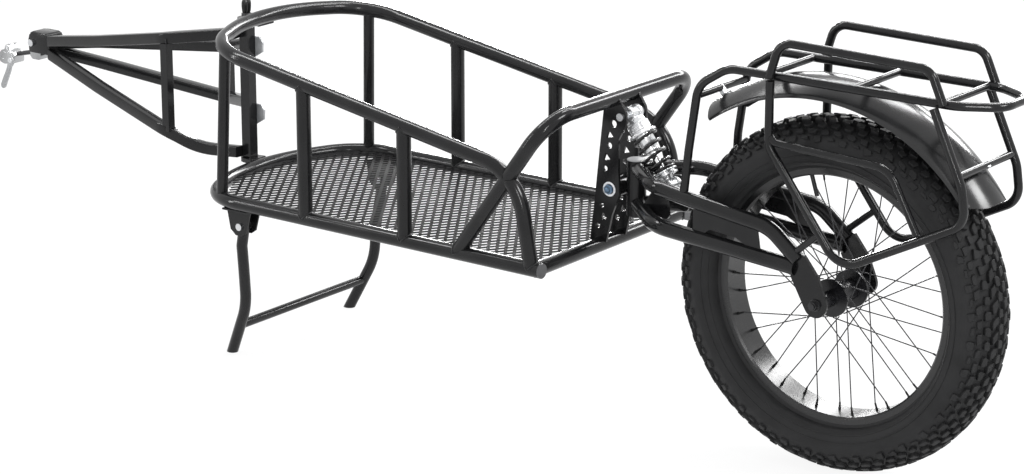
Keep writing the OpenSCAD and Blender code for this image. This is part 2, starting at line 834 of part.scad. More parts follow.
module post_bushes() {
    color("#d8d8d8") from_axle() translate([post_x, 0, 0]) for (z = [post_z0, post_z1 - bush_len])
        translate([0, 0, z]) difference() {
            cylinder(d = bar_w - 4, h = bush_len);
            translate([0, 0, -1]) cylinder(d = pin_d + 2 * running, h = bush_len + 2);
        }
}

nose_x = -1741;
post_face = post_x - bar_w / 2;
upper_near = [[nose_x, -14, 461], [-1587, -43, 488], [-1375, -fork_y, 530], [post_face + 6, -14, 543]];
upper_far = [[nose_x, 14, 452], [-1663, 38, 460], [-1375, fork_y, 484], [post_face + 6, 14, 521]];
lower_near = [[nose_x, -14, 436], [-1588, -43, 400], [-1380, -fork_y, 357], [-1335, -47, 324],
    [post_face + 6, -14, 322]];
lower_far = [[nose_x, 14, 434], [-1665, 38, 421], [-1377, fork_y, 387], [post_face + 6, 14, 408]];

module drawbar_cut() {
    translate([post_x - bar_w / 2, -bar_w / 2 - 40, 200]) cube([100, bar_w + 80, 500]);
    nose_solid();
}

module fork_upper_tubes() {
    color(black) from_axle() difference() {
        union() {
            difference() {
                square_run(upper_near, bar_w, 1.6);
                translate([-2000, -bar_w / 2 + 5, 0]) cube([1000, 100, 1000]);
            }
            difference() {
                square_run(upper_far, bar_w, 1.6);
                translate([-2000, bar_w / 2 - 5 - 100, 0]) cube([1000, 100, 1000]);
            }
        }
        drawbar_cut();
    }
}

module fork_lower_tubes() {
    color(black) from_axle() difference() {
        union() {
            difference() {
                square_run(lower_near, bar_w, 1.6);
                translate([-2000, -bar_w / 2 + 5, 0]) cube([1000, 100, 1000]);
            }
            difference() {
                square_run(lower_far, bar_w, 1.6);
                translate([-2000, bar_w / 2 - 5 - 100, 0]) cube([1000, 100, 1000]);
            }
        }
        drawbar_cut();
        fork_solids(upper_near);
        fork_solids(upper_far);
    }
}

module fork_solids(pts) { square_run(pts, bar_w, 0); }

module fork_struts() {
    strut = bar_w - 4;
    color(black) from_axle() difference() {
        for (p = [[lower_near[2], upper_near[2]], [lower_far[2], upper_far[2]]])
            translate([p[1][0] - strut / 2, p[1][1] - strut / 2, p[0][2]])
                cube([strut, strut, p[1][2] - p[0][2]]);
        fork_solids(upper_near);
        fork_solids(upper_far);
        fork_solids(lower_near);
        fork_solids(lower_far);
    }
}

module stop_plates() {
    color(grey) from_axle() for (z = [515, 390]) side_plate(bar_w / 2 + 2, 4)
        polygon([[post_x - 8, z - 19], [post_x + 8, z - 19], [post_x + 26, z - 8], [post_x + 27, z + 10],
            [post_x + 20, z + 19], [post_x - 8, z + 19]]);
}

nose_t = 4;
nose_gap = 30;

module nose_solid() {
    translate([-1797, -nose_gap / 2 - nose_t, 432]) cube([56, nose_gap + 2 * nose_t, 42]);
}

module nose_bracket() {
    color(black) from_axle() difference() {
        nose_solid();
        translate([-1800, -nose_gap / 2, 420]) cube([52, nose_gap, 80]);
        cross_rod(coupler_pivot, 8 + 2 * running, 80);
    }
}

module hitch_pin() {
    color("#1a1a1a") from_axle() translate([post_x, 0, 0]) {
        translate([0, 0, low_tab_z - 6]) cylinder(d = pin_d, h = 582 - low_tab_z + 6);
        translate([0, 0, top_tab_z + tab_t + clear]) cylinder(d = 22, h = 6);
        for (s = [-1, 1]) translate([0, s * 9, 580]) {
            cylinder(d = 17, h = 20);
            translate([0, 0, 20]) sphere(d = 17);
        }
        translate([-8, -9, 578]) cube([16, 18, 16]);
    }
}

tongue = nose_gap - 1;
jaw = [-1872, 412];
jaw_w = 30;
jaw_bore = 10.2;
rod_back = [-1796, 0, 430];
rod_front = [-1858, 0, 416];
lever_pivot = [-1848, 0, 409];
lever_t = 6;

module swivel_block() {
    color("#d5d7da") from_axle() {
        side_plate(0, tongue) difference() {
            polygon([[-1799, 424], [-1793, 418], [-1776, 418], [-1770, 426], [-1776, 460], [-1787, 464],
                [-1798, 460]]);
            translate([coupler_pivot[0], coupler_pivot[2]]) circle(d = 8 + 2 * running);
        }
        rod(rod_back, rod_front, 9);
    }
}

module hitch_jaw() {
    color("#c3c6ca") from_axle() difference() {
        union() {
            side_plate(0, jaw_w) translate(jaw) circle(r = 16);
            side_plate(0, jaw_w) polygon([[-1872, 402], [-1844, 400], [-1844, 420], [-1866, 432], [-1872, 428]]);
            translate([-1880, 0, 420]) cylinder(d = 14, h = 16);
        }
        side_plate(0, jaw_w + 2) translate(jaw) circle(d = jaw_bore);
        side_plate(0, jaw_w + 2) translate([jaw[0] - 30, jaw[1] - 2]) square([30, 4]);
        rod(rod_back, rod_front, 9);
        cross_rod(lever_pivot, 6 + 2 * running, jaw_w + 2);
    }
}

module coupler_bolt() {
    color(steel) from_axle() bolt_along_y(coupler_pivot, 8, nose_gap + 2 * nose_t, 13, 5);
}

module cam_lever() {
    y = -jaw_w / 2 - lever_t / 2 - clear;
    color(grey) from_axle() {
        cross_rod([lever_pivot[0], -1, lever_pivot[2]], 6, jaw_w + 4);
        side_plate(y, lever_t) union() {
            translate([lever_pivot[0], lever_pivot[2]]) circle(r = 8);
            polygon([[-1856, 408], [-1840, 408], [-1844, 388], [-1862, 354], [-1870, 350], [-1876, 354],
                [-1874, 362], [-1857, 392]]);
        }
    }
}

bottom_rail();
top_rail();
side_posts();
corner_posts();
rear_hoop();
rear_cross_tube();
rail_end_caps();
floor_mesh();
pivot_plates();
hinge_tabs();
stand_brackets();
pivot_bolt();
pivot_nuts();
shock_upper_bolt();
stand_bolts();
kickstand();
stand_feet();
shock_body();
shock_bush_upper();
shock_collar();
coil_spring();
shock_shaft();
shock_bush_lower();
swing_hub();
swing_bushes();
upper_stays();
lower_stays();
swing_gussets();
dropouts();
shock_lugs();
shock_lower_bolt();
rack_platform();
rack_cross_bars();
rack_handrails();
pannier_hoops();
pannier_bars();
fender_stay();
fender_bolts();
fender();
axle();
axle_nuts();
hub();
spoke_set();
nipples();
rim();
valve();
tyre();
post();
post_bushes();
fork_upper_tubes();
fork_lower_tubes();
fork_struts();
stop_plates();
nose_bracket();
hitch_pin();
coupler_bolt();
swivel_block();
hitch_jaw();
cam_lever();
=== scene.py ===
import math
import random

import bmesh
import bpy
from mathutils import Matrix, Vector


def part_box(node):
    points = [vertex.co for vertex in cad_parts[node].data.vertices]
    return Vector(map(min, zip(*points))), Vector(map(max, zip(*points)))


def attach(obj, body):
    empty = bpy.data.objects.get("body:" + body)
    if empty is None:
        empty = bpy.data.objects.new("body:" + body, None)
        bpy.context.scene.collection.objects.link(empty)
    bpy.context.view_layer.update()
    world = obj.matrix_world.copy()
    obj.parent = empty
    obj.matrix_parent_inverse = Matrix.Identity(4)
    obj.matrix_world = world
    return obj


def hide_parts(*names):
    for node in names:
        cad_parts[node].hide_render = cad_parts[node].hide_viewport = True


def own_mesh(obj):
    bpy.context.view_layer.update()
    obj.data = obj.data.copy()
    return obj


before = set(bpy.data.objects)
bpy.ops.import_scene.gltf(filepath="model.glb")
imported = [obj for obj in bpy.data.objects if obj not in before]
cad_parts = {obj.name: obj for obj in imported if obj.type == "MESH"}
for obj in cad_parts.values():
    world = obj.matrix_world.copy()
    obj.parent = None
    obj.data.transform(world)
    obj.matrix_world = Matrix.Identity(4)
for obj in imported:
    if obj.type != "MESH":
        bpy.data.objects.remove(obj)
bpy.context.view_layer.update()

MM = 0.001
UP = Vector((0, 0, 1))
ACROSS = Vector((0, 1, 0))
ALONG = Vector((1, 0, 0))


def middle(node):
    """The middle of a node's box."""
    lo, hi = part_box(node)
    return (Vector(lo) + Vector(hi)) / 2


AXLE = middle("axle")


def at(x, y, z):
    """A point in millimetres from the axle's foot on the ground, as a place in the frame."""
    return Vector((AXLE.x + x * MM, y * MM, z * MM))


# Camera

CAMERA_PLACE = (2339, -3947, 1747)
CAMERA_TURN = 37.17
CAMERA_DIP = 16.65
PHOTO_W = 1024
FOCAL_PX = 3022
SENSOR = 36.0
CLIP_END = 60


def make_camera():
    """A camera at the photograph's viewing angle."""
    data = bpy.data.cameras.new("camera")
    data.sensor_width = SENSOR
    data.lens = FOCAL_PX / PHOTO_W * SENSOR
    data.clip_end = CLIP_END
    camera = bpy.data.objects.new("camera", data)
    camera.location = at(*CAMERA_PLACE)
    camera.rotation_euler = (math.radians(90 - CAMERA_DIP), 0, math.radians(CAMERA_TURN))
    bpy.context.collection.objects.link(camera)
    bpy.context.scene.camera = camera


# Materials

RELIEF_DEPTH = 0.0004
BEVEL_SAMPLES = 4
GLOSS_SPAN = (0.3, 0.7)
COLOUR_SPAN = (0.32, 0.68)


def shader(name):
    mat = bpy.data.materials.new(name)
    mat.use_nodes = True
    return mat, mat.node_tree.nodes, mat.node_tree.links, mat.node_tree.nodes["Principled BSDF"]


def noise(nodes, links, scale, detail):
    """Noise in the coordinates of the piece itself."""
    coords = nodes.new("ShaderNodeTexCoord")
    tex = nodes.new("ShaderNodeTexNoise")
    tex.inputs["Scale"].default_value = scale
    tex.inputs["Detail"].default_value = detail
    links.new(coords.outputs["Object"], tex.inputs["Vector"])
    return tex.outputs["Fac"]


def spread(nodes, links, source, low, high):
    """Noise turned into a value between two limits."""
    ramp = nodes.new("ShaderNodeMapRange")
    ramp.inputs["From Min"].default_value = GLOSS_SPAN[0]
    ramp.inputs["From Max"].default_value = GLOSS_SPAN[1]
    ramp.inputs["To Min"].default_value = low
    ramp.inputs["To Max"].default_value = high
    links.new(source, ramp.inputs["Value"])
    return ramp.outputs["Result"]


def colours(nodes, links, source, dark, light):
    """Noise turned into a colour between two others."""
    ramp = nodes.new("ShaderNodeValToRGB")
    for stop, position, colour in zip(ramp.color_ramp.elements, COLOUR_SPAN, (dark, light)):
        stop.position = position
        stop.color = (*colour, 1)
    links.new(source, ramp.inputs["Fac"])
    return ramp.outputs["Color"]


def finish_surface(name, dark, light, rough, metal=0.0, coarse=14, fine=900, bump=0.05, bevel=0.0,
                   gloss=0.5):
    """A surface whose colour and roughness drift a little, over a fine grain."""
    mat, nodes, links, bsdf = shader(name)
    drift = noise(nodes, links, coarse, 5)
    grain = noise(nodes, links, fine, 3)
    links.new(colours(nodes, links, drift, dark, light), bsdf.inputs["Base Color"])
    links.new(spread(nodes, links, drift, *rough), bsdf.inputs["Roughness"])
    bsdf.inputs["Metallic"].default_value = metal
    bsdf.inputs["Specular IOR Level"].default_value = gloss
    relief = nodes.new("ShaderNodeBump")
    relief.inputs["Strength"].default_value = bump
    relief.inputs["Distance"].default_value = RELIEF_DEPTH
    links.new(grain, relief.inputs["Height"])
    if bevel:
        rounded = nodes.new("ShaderNodeBevel")
        rounded.samples = BEVEL_SAMPLES
        rounded.inputs["Radius"].default_value = bevel
        links.new(rounded.outputs["Normal"], relief.inputs["Normal"])
    links.new(relief.outputs["Normal"], bsdf.inputs["Normal"])
    return mat


PAINT = finish_surface("satin_black_paint", (0.006, 0.006, 0.0065), (0.011, 0.011, 0.0115), (0.13, 0.2),
                       bump=0.02, bevel=0.0008, gloss=0.3)
PLASTIC = finish_surface("black_plastic", (0.01, 0.01, 0.01), (0.018, 0.018, 0.018), (0.5, 0.65),
                         bump=0.3, gloss=0.25)
FOOT = finish_surface("foot_rubber", (0.01, 0.01, 0.01), (0.022, 0.022, 0.022), (0.7, 0.85), bump=0.5,
                      gloss=0.2)
KNOB = finish_surface("knob_plastic", (0.006, 0.006, 0.006), (0.012, 0.012, 0.012), (0.3, 0.45),
                      bump=0.2, gloss=0.3)
STEEL = finish_surface("zinc_bolt", (0.5, 0.51, 0.53), (0.68, 0.69, 0.7), (0.22, 0.36), metal=1.0,
                       bump=0.15, bevel=0.0005)
NUT = finish_surface("blue_grey_nut", (0.1, 0.19, 0.3), (0.18, 0.27, 0.38), (0.26, 0.38), metal=0.7,
                     bump=0.15, bevel=0.0006)
ZINC = finish_surface("bare_zinc_plate", (0.36, 0.37, 0.38), (0.52, 0.53, 0.54), (0.42, 0.58),
                      metal=0.6, bump=0.3, coarse=40)
SILVER = finish_surface("shock_silver", (0.66, 0.67, 0.68), (0.8, 0.8, 0.81), (0.18, 0.3), metal=0.8,
                        bump=0.1, bevel=0.0006)
CHROME = finish_surface("shaft_chrome", (0.78, 0.78, 0.79), (0.86, 0.86, 0.87), (0.06, 0.12), metal=1.0,
                        bump=0.02)
SPRING = finish_surface("spring_black", (0.006, 0.006, 0.0065), (0.012, 0.012, 0.013), (0.14, 0.22),
                        gloss=0.45)
FENDER = finish_surface("fender_black", (0.008, 0.008, 0.0085), (0.014, 0.014, 0.0145), (0.2, 0.28),
                        bump=0.03, gloss=0.5)
HUB = finish_surface("hub_black", (0.006, 0.006, 0.007), (0.014, 0.014, 0.016), (0.22, 0.34), bump=0.1,
                     bevel=0.0006, gloss=0.35)
SPOKE = finish_surface("spoke_steel", (0.03, 0.03, 0.032), (0.06, 0.06, 0.063), (0.3, 0.4), metal=0.5,
                       bump=0.05, gloss=0.3)
NIPPLE = finish_surface("nipple_black", (0.005, 0.005, 0.005), (0.012, 0.012, 0.012), (0.35, 0.5),
                        bump=0.1, gloss=0.2)
RIM = finish_surface("rim_black", (0.01, 0.01, 0.0105), (0.016, 0.016, 0.0165), (0.2, 0.3), bump=0.06,
                     gloss=0.5)
DARK_STEEL = finish_surface("black_zinc_bolt", (0.02, 0.02, 0.021), (0.05, 0.05, 0.052), (0.28, 0.4),
                            metal=0.6, bump=0.15, bevel=0.0005)
HITCH = finish_surface("hitch_silver", (0.3, 0.305, 0.31), (0.5, 0.505, 0.51), (0.16, 0.3), metal=1.0,
                       bump=0.4, bevel=0.0008)
LEVER = finish_surface("lever_grey", (0.27, 0.275, 0.28), (0.38, 0.385, 0.39), (0.35, 0.5), metal=0.5,
                       bump=0.3, bevel=0.0008)
WHITE_RING = finish_surface("white_nylon", (0.72, 0.73, 0.74), (0.82, 0.82, 0.83), (0.35, 0.5),
                            bump=0.2)
CAP = finish_surface("grey_cap", (0.26, 0.26, 0.265), (0.36, 0.36, 0.365), (0.4, 0.55), bump=0.2)
END_CAP = finish_surface("end_cap_plastic", (0.05, 0.05, 0.052), (0.08, 0.08, 0.083), (0.35, 0.5),
                         bump=0.2, gloss=0.4)
MESH_PAINT = finish_surface("mesh_black_paint", (0.006, 0.006, 0.0064), (0.011, 0.011, 0.0115),
                            (0.5, 0.65), bump=0.2, gloss=0.05)
WELD = finish_surface("painted_weld", (0.007, 0.007, 0.0075), (0.013, 0.013, 0.014), (0.25, 0.4),
                      fine=400, bump=0.6, gloss=0.3)
TYRE = finish_surface("tyre_rubber", (0.009, 0.009, 0.0095), (0.017, 0.017, 0.0175), (0.5, 0.68),
                      coarse=30, fine=1400, bump=0.5, gloss=0.25)

NODE_MATERIALS = (
    (STEEL, ("pivot_bolt", "shock_upper_bolt", "shock_lower_bolt", "stand_bolts", "fender_bolts",
             "coupler_bolt", "shock_bush_upper", "shock_bush_lower")),
    (DARK_STEEL, ("axle", "axle_nuts", "valve")),
    (PLASTIC, ("post_bushes", "swing_bushes")),
    (END_CAP, ("rail_end_caps",)),
    (FOOT, ("stand_feet",)),
    (KNOB, ("hitch_pin",)),
    (NUT, ("pivot_nuts",)),
    (ZINC, ("stop_plates", "cam_lever")),
    (SILVER, ("shock_body", "shock_collar")),
    (FENDER, ("fender",)),
    (HUB, ("hub",)),
    (SPOKE, ("spoke_set",)),
    (NIPPLE, ("nipples",)),
    (RIM, ("rim",)),
    (HITCH, ("swivel_block", "hitch_jaw")),
)


def dress_nodes():
    """Gives every CAD node its finish; whatever isn't listed is painted tube or plate."""
    chosen = {node: mat for mat, nodes in NODE_MATERIALS for node in nodes}
    for name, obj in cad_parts.items():
        for slot in obj.material_slots:
            slot.material = chosen.get(name, PAINT)


# Mesh helpers


def place(name, mesh, mat, body, smooth=True):
    """Puts a mesh into the scene, on the body that carries it."""
    mesh.materials.append(mat)
    if smooth:
        mesh.shade_smooth()
    obj = bpy.data.objects.new(name, mesh)
    bpy.context.collection.objects.link(obj)
    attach(obj, body)
    return obj


def add_mesh(name, verts, faces, mat, body, smooth=True):
    mesh = bpy.data.meshes.new(name)
    mesh.from_pydata([tuple(v) for v in verts], [], faces)
    return place(name, mesh, mat, body, smooth)


def around(i, count, x, y):
    """The direction of step i out of count, on a circle in the plane of x and y."""
    a = 2 * math.pi * i / count
    return x * math.cos(a) + y * math.sin(a)


def band(faces, first, second, count):
    """Joins two rings of points, each named by its first index, with quads."""
    for s in range(count):
        t = (s + 1) % count
        faces.append((first + s, first + t, second + t, second + s))


def close_ends(faces, first, last, count):
    """Closes the first and the last ring of a tube."""
    faces.append(tuple(range(first + count - 1, first - 1, -1)))
    faces.append(tuple(range(last, last + count)))


def lathe(name, profile, centre, axis, mat, body, steps=96):
    """A closed outline of (along, radius) pairs turned about an axis, sizes in millimetres."""
    axis = Vector(axis).normalized()
    side = axis.orthogonal().normalized()
    other = axis.cross(side)
    verts, faces = [], []
    n = len(profile)
    for i in range(steps):
        out = around(i, steps, side, other)
        verts += [centre + axis * (along * MM) + out * (radius * MM) for along, radius in profile]
        band(faces, i * n, (i + 1) % steps * n, n)
    obj = add_mesh(name, verts, faces, mat, body)
    sharp_by_angle(obj, 35)
    return obj


def sharp_by_angle(obj, degrees):
    """Turns all normals outward and keeps the edges above an angle sharp."""
    bm = bmesh.new()
    bm.from_mesh(obj.data)
    bmesh.ops.recalc_face_normals(bm, faces=bm.faces)
    for edge in bm.edges:
        if len(edge.link_faces) == 2 and edge.calc_face_angle() > math.radians(degrees):
            edge.smooth = False
    bm.to_mesh(obj.data)
    bm.free()


def sweep(name, points, radius, mat, body, sides, closed=False):
    """A round tube along a list of points in metres."""
    verts, faces = [], []
    count = len(points)
    x = None
    for i, p in enumerate(points):
        before = points[i - 1] if (i > 0 or closed) else points[0]
        after = points[(i + 1) % count] if (i < count - 1 or closed) else points[-1]
        z = (after - before).normalized()
        if x is None:
            x = z.orthogonal().normalized()
        x = (x - z * x.dot(z)).normalized()
        y = z.cross(x)
        verts += [p + around(s, sides, x, y) * radius for s in range(sides)]
    for i in range(count if closed else count - 1):
        band(faces, i * sides, (i + 1) % count * sides, sides)
    if not closed:
        close_ends(faces, 0, (count - 1) * sides, sides)
    return add_mesh(name, verts, faces, mat, body)


def joined(name, parts):
    """Several pieces made into one."""
    bpy.ops.object.select_all(action="DESELECT")
    for part in parts:
        part.select_set(True)
    bpy.context.view_layer.objects.active = parts[0]
    bpy.ops.object.join()
    parts[0].name = name
    return parts[0]


# Tyre

TYRE_R = (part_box("tyre")[1][2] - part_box("tyre")[0][2]) / 2 / MM
TYRE_HALF = (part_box("tyre")[1][1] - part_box("tyre")[0][1]) / 2 / MM
KNOB_H = 7.0
BEAD_R = 211.0
SHOULDER_R = 239.0
ROUNDNESS = 2.15
TREAD_ROWS = 72
TREAD_SEED = 7
BLOCK = ((-0.5, -0.5), (0.1, -0.5), (0.5, -0.34), (0.5, 0.5), (-0.16, 0.5), (-0.5, 0.3))
# Distance from the middle, width, length, height and lean of the blocks in each line
TREAD_LINES = (
    (6.4, 10.0, 16.0, KNOB_H - 0.4, 0.35),
    (18.4, 10.5, 15.0, KNOB_H - 0.4, -0.3),
    (30.4, 9.5, 14.0, KNOB_H - 0.4, 0.25),
    (40.6, 7.5, 14.5, KNOB_H - 0.6, -0.1),
)
SHOULDER_Y = 45.2
SHOULDER_WIDE = (5.5, 10.0)
SHOULDER_BLOCK = (13.0, 3.8, 0.15)
STRAY = (1.3, 1.8)
STRAY_TALL = (-1.2, 0.2)
STRAY_LEAN = 0.12
# Radius of each moulded line on the sidewall, and how far it lies inside the tyre's width
SIDEWALL_LINES = ((222, 5.0), (233, 0.4))
LINE_R = 0.0009
LINE_STEPS = 120


def tyre_radius(y):
    """Radius of the carcass at a distance from the wheel's middle, in millimetres."""
    side = min(1.0, abs(y) / (TYRE_HALF + 0.5))
    return SHOULDER_R + (TYRE_R - KNOB_H - SHOULDER_R) * math.sqrt(max(0.0, 1 - side ** ROUNDNESS))


def tyre_profile():
    """The carcass's closed outline, from bead to bead."""
    outer = []
    for i in range(33):
        y = -TYRE_HALF * math.cos(math.pi * i / 32)
        outer.append((y, tyre_radius(y)))
    lower = [(TYRE_HALF - 0.6, 231), (TYRE_HALF - 4, 223), (TYRE_HALF - 12, 216), (30.5, BEAD_R + 2),
             (27.5, BEAD_R - 3), (24, BEAD_R - 2)]
    mirrored = [(-y, r) for y, r in reversed(lower)]
    return mirrored + outer + lower


def knob(verts, faces, y, angle, wide, long, tall, lean, chance):
    """One tread block: a bent, tapered block standing on the carcass, its corners a little astray."""
    base = len(verts)
    slope = (tyre_radius(y + 1) - tyre_radius(y - 1)) / 2
    tilt = math.atan(-slope)
    count = len(BLOCK)
    stray = [(chance.uniform(-STRAY[0], STRAY[0]), chance.uniform(-STRAY[1], STRAY[1])) for _ in BLOCK]
    tall += chance.uniform(*STRAY_TALL)
    lean += chance.uniform(-STRAY_LEAN, STRAY_LEAN)
    for level, shrink in ((-3.0, 1.1), (tall - 0.9, 1.0), (tall, 0.86)):
        for (u, v), (du, dv) in zip(BLOCK, stray):
            across = (u * wide + du) * shrink
            along = (v * long + dv) * shrink + across * lean
            yy = y + across * math.cos(tilt) + level * math.sin(tilt)
            rr = tyre_radius(y) - across * math.sin(tilt) + level * math.cos(tilt)
            a = angle + along / rr
            verts.append(Vector((AXLE.x + rr * MM * math.cos(a), yy * MM, AXLE.z + rr * MM * math.sin(a))))
    for k in range(2):
        band(faces, base + k * count, base + (k + 1) * count, count)
    faces.append(tuple(base + 2 * count + s for s in range(count)))


def make_tyre():
    """The carcass, its staggered tread blocks and the moulded lines on its sidewalls."""
    carcass = lathe("tyre_carcass", tyre_profile(), AXLE, ACROSS, TYRE, "wheel", 180)
    verts, faces = [], []
    chance = random.Random(TREAD_SEED)
    half = math.pi / TREAD_ROWS
    for i in range(TREAD_ROWS):
        a = 2 * half * i
        for s in (-1, 1):
            odd = half if s > 0 else 0
            for k, (y, wide, long, tall, lean) in enumerate(TREAD_LINES):
                start = half - odd if k % 2 else odd
                knob(verts, faces, s * y, a + start, wide, long, tall, lean * s, chance)
            wide = SHOULDER_WIDE[i % 2]
            long, tall, lean = SHOULDER_BLOCK
            knob(verts, faces, s * (SHOULDER_Y + wide * 0.2), a + odd, wide, long, tall, lean * s, chance)
    tread = add_mesh("tyre_tread", verts, faces, TYRE, "wheel", smooth=False)
    ribs = []
    for s in (-1, 1):
        for r, inset in SIDEWALL_LINES:
            centre = Vector((AXLE.x, s * (TYRE_HALF - inset) * MM, AXLE.z))
            ring = [centre + around(i, LINE_STEPS, ALONG, UP) * (r * MM) for i in range(LINE_STEPS)]
            ribs.append(sweep("rib", ring, LINE_R, TYRE, "wheel", 6, closed=True))
    ribs = joined("tyre_ribs", ribs)
    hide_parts("tyre")


# Nipples

SPOKES = 36
RIM_INNER_R = 197.0
NIPPLE_LENGTH = 12.2
NIPPLE_SIDE = ((0, 1.15), (0, 1.45), (1, 1.6), (8.4, 1.75), (9.2, 2.3), (12.1, 2.5), (12.1, 1.15))
SPOKE_SIDE = 9
SPOKE_STAGGER = 1.25


def make_nipples():
    """A slim flanged nipple where each spoke meets the rim."""
    parts = []
    for i in range(SPOKES):
        stagger = SPOKE_STAGGER if i // 2 % 2 == 0 else -SPOKE_STAGGER
        y = (-1 if i % 2 == 0 else 1) * (SPOKE_SIDE + stagger)
        out = around(i, SPOKES, ALONG, UP)
        root = AXLE + out * ((RIM_INNER_R - NIPPLE_LENGTH) * MM) + ACROSS * (y * MM)
        parts.append(lathe("nipple", NIPPLE_SIDE, root, out, NIPPLE, "wheel", 12))
    nipples = joined("nipple_set", parts)
    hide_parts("nipples")


# Basket floor

DIAMOND_X = 18.0
DIAMOND_Y = 26.0
STRAND_W = 4.9
STRAND_T = 1.4
STRAND_LEAN = 0.2
STRAND_LAP = 0.4
NOSE_GAP = 12
NOSE_DEPTH = 88
NOSE_HALF = 188.0
NOSE_POWER = 3.2


def strand(verts, faces, start, end):
    """One leaning strand of expanded metal between two corners of a diamond."""
    along = (end - start).normalized()
    side = Vector((-along.y, along.x, 0)) * STRAND_W
    tilt = UP * STRAND_T + side * STRAND_LEAN
    base = len(verts)
    for p in (start - along * STRAND_LAP, end + along * STRAND_LAP):
        for u, v in ((-1, -1), (1, -1), (1, 1), (-1, 1)):
            verts.append(at(*(p + side * (u * 0.5) + tilt * (v * 0.5))))
    band(faces, base, base + 4, 4)
    close_ends(faces, base, base + 4, 4)


def make_floor_mesh():
    """Expanded metal: zigzag strands, cut to the bottom rail's outline."""
    lo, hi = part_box("floor_mesh")
    low_x = (lo[0] - AXLE.x) / MM
    high_x = (hi[0] - AXLE.x) / MM
    wide = (hi[1] - lo[1]) / 2 / MM
    z = (lo[2] + hi[2]) / 2 / MM

    def inside(x, y):
        front = low_x + NOSE_GAP + (abs(y) / NOSE_HALF) ** NOSE_POWER * NOSE_DEPTH
        return front < x <= high_x - 2 and abs(y) <= wide - 1

    verts, faces = [], []
    columns = int((high_x - low_x) / DIAMOND_X * 2) + 2
    rows = int(wide / DIAMOND_Y * 2) + 2
    for i in range(columns):
        for j in range(-rows, rows + 1):
            if (i + j) % 2:
                continue
            x = low_x + i * DIAMOND_X / 2
            y = j * DIAMOND_Y / 2
            end_x = x + DIAMOND_X / 2
            for end_y in (y - DIAMOND_Y / 2, y + DIAMOND_Y / 2):
                kept = abs(end_y) < wide + 4 and end_x < high_x + 6
                if kept and (inside(x, y) or inside(end_x, end_y)):
                    strand(verts, faces, Vector((x, y, z)), Vector((end_x, end_y, z)))
    mesh = add_mesh("basket_mesh", verts, faces, MESH_PAINT, "basket", smooth=False)
    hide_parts("floor_mesh")


# Shock and spring

SHOCK_TOP = (-407, 0, 522)
SHOCK_LOW = (-328, 0, 412)
COIL_TURNS = 4.75
COIL_STEPS = 36
COIL_R = 20.3
COIL_WIRE = 2.75
RING_FACE = 40.6
SEAT_FACE = 26
SHOCK_CAN = ((9, 6.3), (9, 12.5), (12, 15), (18, 16), (19.5, 18.6), (22, 19), (22.6, 18), (24, 18),
             (24.6, 19), (27, 19), (27.6, 18), (29, 18), (29.6, 19), (32, 19), (33, 17.4), (35.5, 17.4),
             (36, 23), (36.6, 23.6), (39.6, 23.6), (40.2, 23), (40.4, 14.6), (57, 14.6), (59, 13.2),
             (71, 13.2), (73, 11.4), (73, 6.3))
SHOCK_EYE = ((-15, 8.1), (-15, 12.4), (-13.4, 13.6), (-8.6, 13.6), (-6.8, 10.8), (6.8, 10.8),
             (8.6, 13.6), (13.4, 13.6), (15, 12.4), (15, 8.1))
SHOCK_SHAFT = ((48, 0.4), (48, 6), (108, 6), (108, 0.4))
SHOCK_SEAT = ((106, 6), (106, 11), (109.5, 12), (109.8, 22.8), (110.6, 23.6), (112.4, 23.6),
              (113, 19.6), (115.6, 19.6), (116.2, 22.4), (118.6, 22.4), (119.4, 13), (126, 11.4),
              (126, 6))


def make_spring():
    """The coil, with its first and last half turn flat against the ring and the seat."""
    top, low = at(*SHOCK_TOP), at(*SHOCK_LOW)
    axis = (low - top).normalized()
    first = RING_FACE + COIL_WIRE
    last = (low - top).length / MM - SEAT_FACE - COIL_WIRE
    x = ACROSS.cross(axis).normalized()
    steps = int(COIL_TURNS * COIL_STEPS)
    points = []
    for i in range(steps + 1):
        turns = COIL_TURNS * i / steps
        k = min(1.0, max(0.0, (turns - 0.5) / (COIL_TURNS - 1.0)))
        middle_line = top + axis * ((first + (last - first) * k) * MM)
        points.append(middle_line + around(turns, 1, x, ACROSS) * COIL_R * MM)
    spring = sweep("spring_coil", points, COIL_WIRE * MM, SPRING, "shock_upper", 12)
    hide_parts("coil_spring")
    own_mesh(spring)


def make_shock():
    """The stepped can with its preload ring, and the chrome shaft with its stacked seat."""
    top, low = at(*SHOCK_TOP), at(*SHOCK_LOW)
    axis = (low - top).normalized()
    can = joined("shock_can", [lathe("can", SHOCK_CAN, top, axis, SILVER, "shock_upper"),
                               lathe("eye", SHOCK_EYE, top, ACROSS, SILVER, "shock_upper")])
    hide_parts("shock_body", "shock_collar")
    shaft = lathe("shock_shaft_chrome", SHOCK_SHAFT, top, axis, CHROME, "shock_lower")
    seat = joined("shock_seat", [lathe("seat", SHOCK_SEAT, top, axis, SILVER, "shock_lower"),
                                 lathe("eye", SHOCK_EYE, low, ACROSS, SILVER, "shock_lower")])
    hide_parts("shock_shaft")


# Fender

FENDER_MID = (-24, 283)
FENDER_CROWN = 361
FENDER_ARCH = 30
FENDER_HALF = 56
FENDER_EDGE = FENDER_HALF - 0.4
FENDER_FROM = 34.5
FENDER_TO = 126.5
FENDER_T = 1.8
REAR_CORNER = 34.0
FRONT_CORNER = 5.0
FENDER_STEPS = 90
FENDER_STRIPS = 24
LIP_H = 1.2
LIP_SPAN = 0.06


